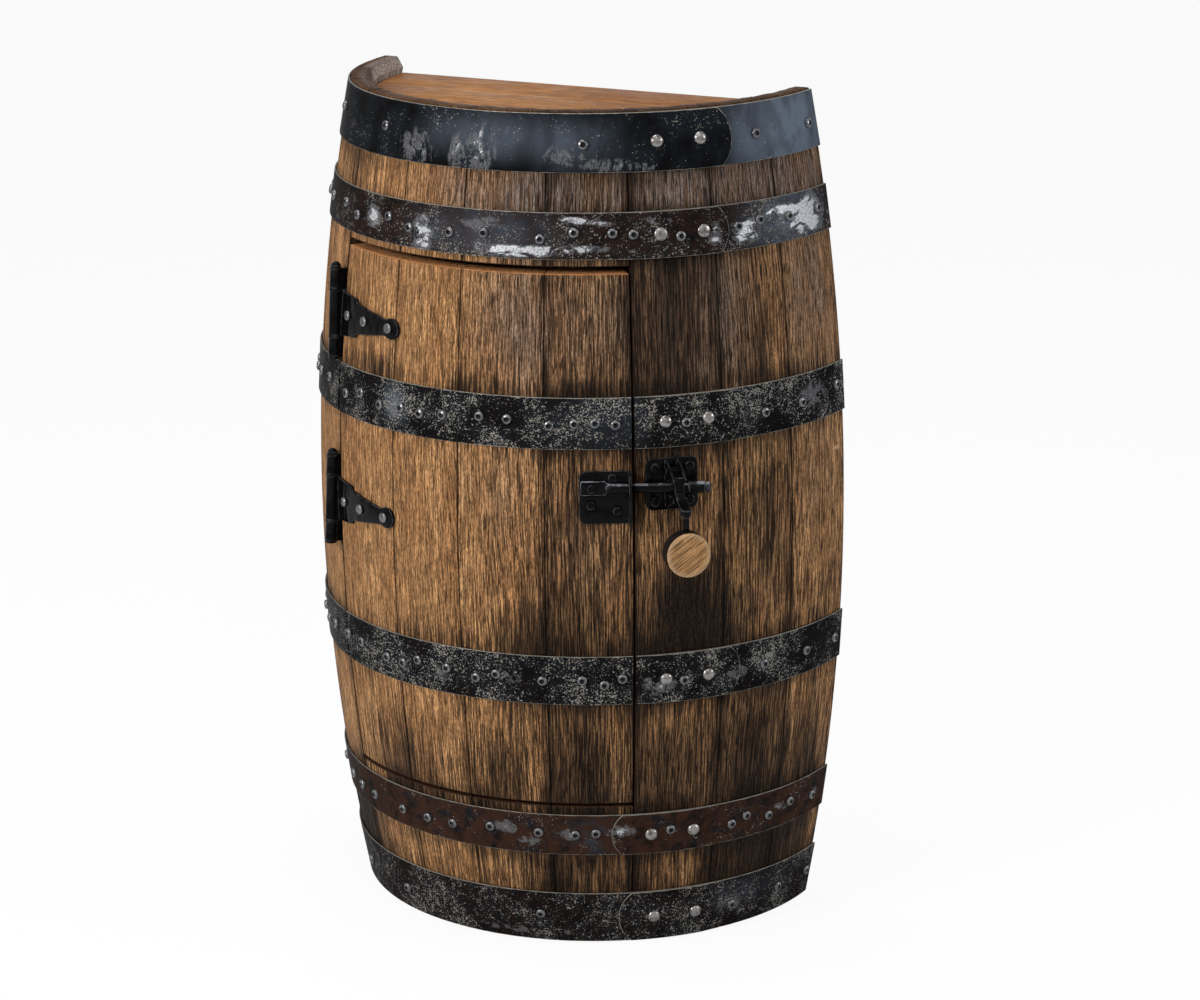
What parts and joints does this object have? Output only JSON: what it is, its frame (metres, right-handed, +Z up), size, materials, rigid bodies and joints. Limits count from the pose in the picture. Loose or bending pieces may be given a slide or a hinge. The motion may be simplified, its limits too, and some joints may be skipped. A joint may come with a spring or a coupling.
{
  "type": "half barrel cabinet",
  "caption": "Half barrel cabinet: bowed oak staves in steel hoops, a stave door on strap hinges with a gate latch, shelves behind it and a recessed plank top.",
  "frame": {"origin": "on the floor at the middle of the sawn back, where the back plane meets the floor", "axes": "+Z up, the sawn back is the plane y = 0 and faces +Y, the door faces -Y, +X to the right as seen from the front"},
  "size_m": [0.5978, 0.2996, 0.889],
  "materials": {
    "honey_oak": "weathered oiled oak, honey brown",
    "aged_oak": "weathered oak, brown with grey grain",
    "dark_oak": "weathered oak, dark grey brown",
    "board_oak": "planed oak, light honey",
    "plywood": "plain sanded board",
    "hoop_steel": "dark mill scale with grey pitting and worn edges",
    "hoop_rust": "brown rusted steel",
    "rivet_steel": "dull steel",
    "black_iron": "satin black",
    "zinc_steel": "bright zinc plated",
    "knob_wood": "turned wood with a pale rim"
  },
  "bodies": {
    "cabinet": {"left_stave_rear": "honey_oak", "left_stave_middle": "honey_oak", "left_stave_hinge": "honey_oak", "right_stave_latch": "dark_oak", "right_stave_middle": "dark_oak", "right_stave_rear": "dark_oak", "upper_stave_1": "aged_oak", "upper_stave_2": "aged_oak", "upper_stave_3": "aged_oak", "upper_stave_4": "aged_oak", "lower_stave_1": "aged_oak", "lower_stave_2": "aged_oak", "lower_stave_3": "aged_oak", "lower_stave_4": "aged_oak", "top_head_hoop": "hoop_steel", "upper_quarter_hoop": "hoop_steel", "lower_quarter_hoop": "hoop_rust", "bottom_head_hoop": "hoop_steel", "upper_bilge_hoop_left": "hoop_steel", "upper_bilge_hoop_right": "hoop_steel", "lower_bilge_hoop_left": "hoop_steel", "lower_bilge_hoop_right": "hoop_steel", "top_plank_rear": "board_oak", "top_plank_middle": "board_oak", "top_plank_front": "board_oak", "bottom_head": "board_oak", "back_panel": "plywood", "upper_shelf": "plywood", "lower_shelf": "plywood", "upper_cleat_left": "board_oak", "upper_cleat_right": "board_oak", "lower_cleat_left": "board_oak", "lower_cleat_right": "board_oak", "upper_hinge_leaf": "black_iron", "upper_hinge_pin": "black_iron", "lower_hinge_leaf": "black_iron", "lower_hinge_pin": "black_iron", "latch_base": "black_iron", "latch_pin": "black_iron", "hoop_screws": "zinc_steel", "hoop_rivets": "rivet_steel", "leaf_screws": "zinc_steel", "latch_bolts": "black_iron"},
    "door": {"door_stave_1": "aged_oak", "door_stave_2": "aged_oak", "door_stave_3": "aged_oak", "door_stave_4": "aged_oak", "upper_bilge_hoop_door": "hoop_steel", "lower_bilge_hoop_door": "hoop_steel", "upper_hinge_strap": "black_iron", "lower_hinge_strap": "black_iron", "striker_plate": "black_iron", "striker_bar": "black_iron", "door_hoop_screws": "zinc_steel", "strap_screws": "zinc_steel", "striker_screws": "black_iron"},
    "lever": {"latch_lever": "black_iron", "latch_knob": "knob_wood"}
  },
  "joints": [
    {"name": "door_hinge", "type": "hinge", "parent": "cabinet", "child": "door", "pos_m": [-0.1836, -0.23927, 0.55698], "axis": [-0.0302, -0.0394, -0.9988], "range_deg": [0, 170]},
    {"name": "latch_pivot", "type": "hinge", "parent": "cabinet", "child": "lever", "pos_m": [0.20867, -0.22377, 0.52923], "axis": [-0.7314, -0.682, 0], "range_deg": [0, 100]}
  ]
}
